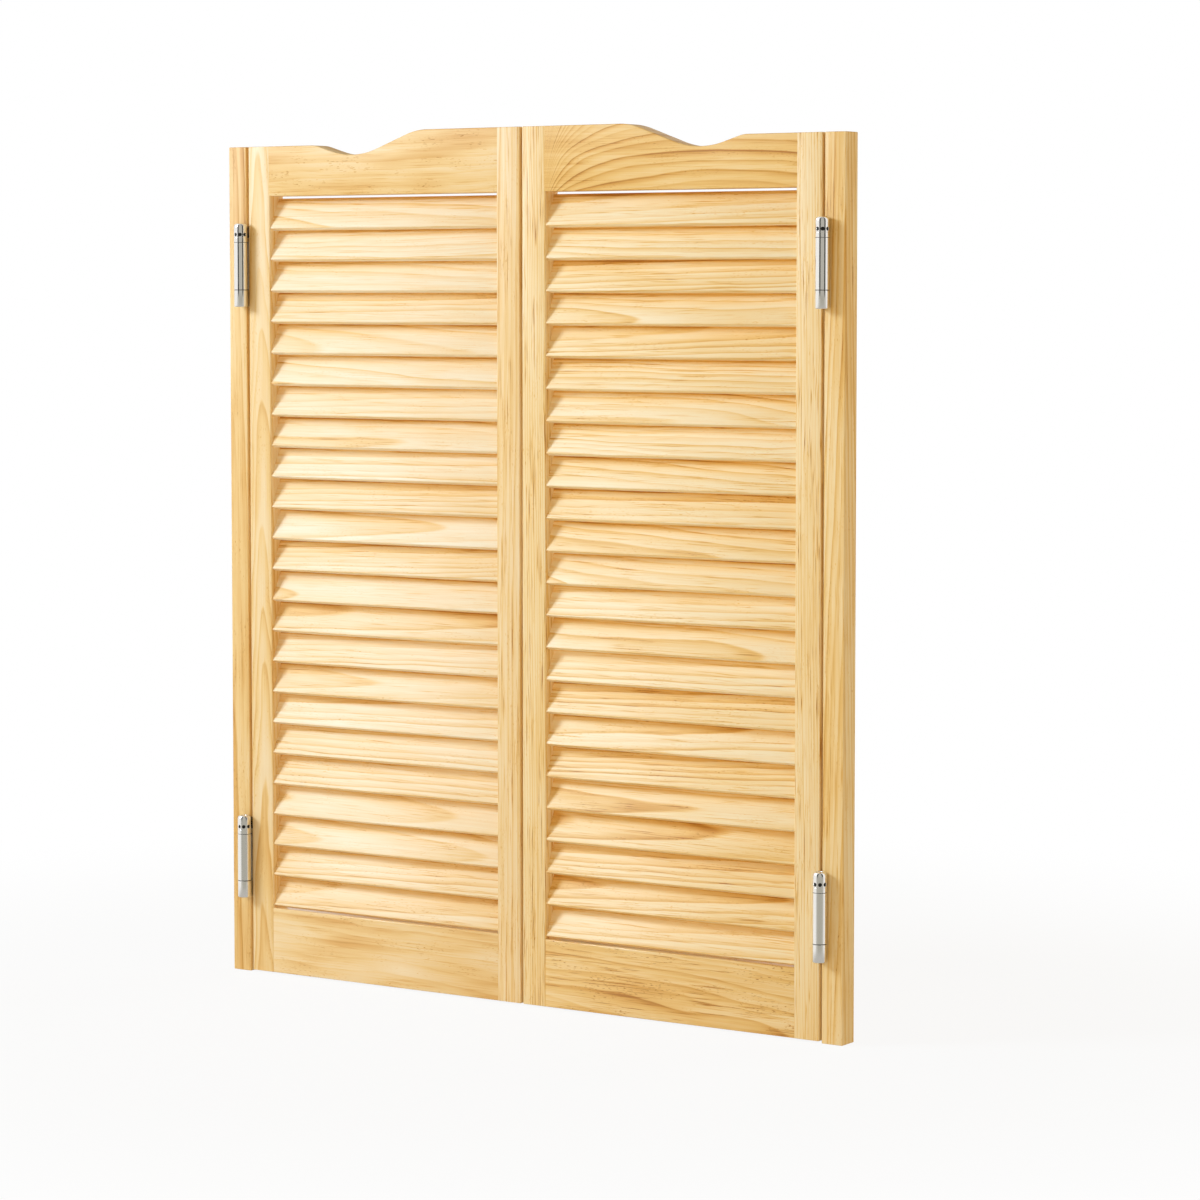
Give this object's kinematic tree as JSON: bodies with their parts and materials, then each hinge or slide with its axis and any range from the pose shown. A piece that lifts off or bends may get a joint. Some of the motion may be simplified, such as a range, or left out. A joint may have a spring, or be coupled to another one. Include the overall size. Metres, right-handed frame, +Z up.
{
  "type": "cafe swinging doors",
  "caption": "Louvred wooden saloon doors with scalloped tops, hung between side posts on double-acting spring hinges, so that each door swings both ways and closes.",
  "frame": {"origin": "on the floor line, half way between the posts and half way through the thickness", "axes": "+X along the doors from the left post to the right post, +Y from the front to the back, +Z up"},
  "size_m": [0.907, 0.063, 1.076],
  "materials": {
    "left_post_pine": "clear satin varnish",
    "left_hinge_stile_pine": "clear satin varnish",
    "left_meeting_stile_pine": "clear satin varnish",
    "left_top_rail_pine": "clear satin varnish",
    "left_bottom_rail_pine": "clear satin varnish",
    "left_slats_pine": "clear satin varnish",
    "right_post_pine": "clear satin varnish",
    "right_hinge_stile_pine": "clear satin varnish",
    "right_meeting_stile_pine": "clear satin varnish",
    "right_top_rail_pine": "clear satin varnish",
    "right_bottom_rail_pine": "clear satin varnish",
    "right_slats_pine": "clear satin varnish",
    "hinge_nickel": "satin nickel plate",
    "spring_steel": "oiled spring steel"
  },
  "bodies": {
    "frame": {"left_post": "left_post_pine", "right_post": "right_post_pine", "left_lower_jamb_leaf": "hinge_nickel", "left_upper_jamb_leaf": "hinge_nickel", "right_lower_jamb_leaf": "hinge_nickel", "right_upper_jamb_leaf": "hinge_nickel"},
    "left_link": {"left_lower_centre_web": "hinge_nickel", "left_lower_tension_collars": "hinge_nickel", "left_lower_springs": "spring_steel", "left_upper_centre_web": "hinge_nickel", "left_upper_tension_collars": "hinge_nickel", "left_upper_springs": "spring_steel"},
    "left_door": {"left_hinge_stile": "left_hinge_stile_pine", "left_meeting_stile": "left_meeting_stile_pine", "left_top_rail": "left_top_rail_pine", "left_bottom_rail": "left_bottom_rail_pine", "left_slats": "left_slats_pine", "left_lower_door_leaf": "hinge_nickel", "left_upper_door_leaf": "hinge_nickel"},
    "right_link": {"right_lower_centre_web": "hinge_nickel", "right_lower_tension_collars": "hinge_nickel", "right_lower_springs": "spring_steel", "right_upper_centre_web": "hinge_nickel", "right_upper_tension_collars": "hinge_nickel", "right_upper_springs": "spring_steel"},
    "right_door": {"right_hinge_stile": "right_hinge_stile_pine", "right_meeting_stile": "right_meeting_stile_pine", "right_top_rail": "right_top_rail_pine", "right_bottom_rail": "right_bottom_rail_pine", "right_slats": "right_slats_pine", "right_lower_door_leaf": "hinge_nickel", "right_upper_door_leaf": "hinge_nickel"}
  },
  "joints": [
    {"name": "left_jamb_hinge", "type": "hinge", "parent": "frame", "child": "left_link", "pos_m": [-0.42775, -0.023, 0.53], "axis": [0, 0, -1], "range_deg": [0, 90], "stiffness_Nm_per_rad": 4, "springref_deg": -20.05},
    {"name": "left_door_hinge", "type": "hinge", "parent": "left_link", "child": "left_door", "pos_m": [-0.42775, 0.023, 0.53], "axis": [0, 0, 1], "range_deg": [0, 90], "stiffness_Nm_per_rad": 4, "springref_deg": -20.05},
    {"name": "right_jamb_hinge", "type": "hinge", "parent": "frame", "child": "right_link", "pos_m": [0.42775, 0.023, 0.53], "axis": [0, 0, -1], "range_deg": [0, 90], "stiffness_Nm_per_rad": 4, "springref_deg": -20.05},
    {"name": "right_door_hinge", "type": "hinge", "parent": "right_link", "child": "right_door", "pos_m": [0.42775, -0.023, 0.53], "axis": [0, 0, 1], "range_deg": [0, 90], "stiffness_Nm_per_rad": 4, "springref_deg": -20.05}
  ]
}
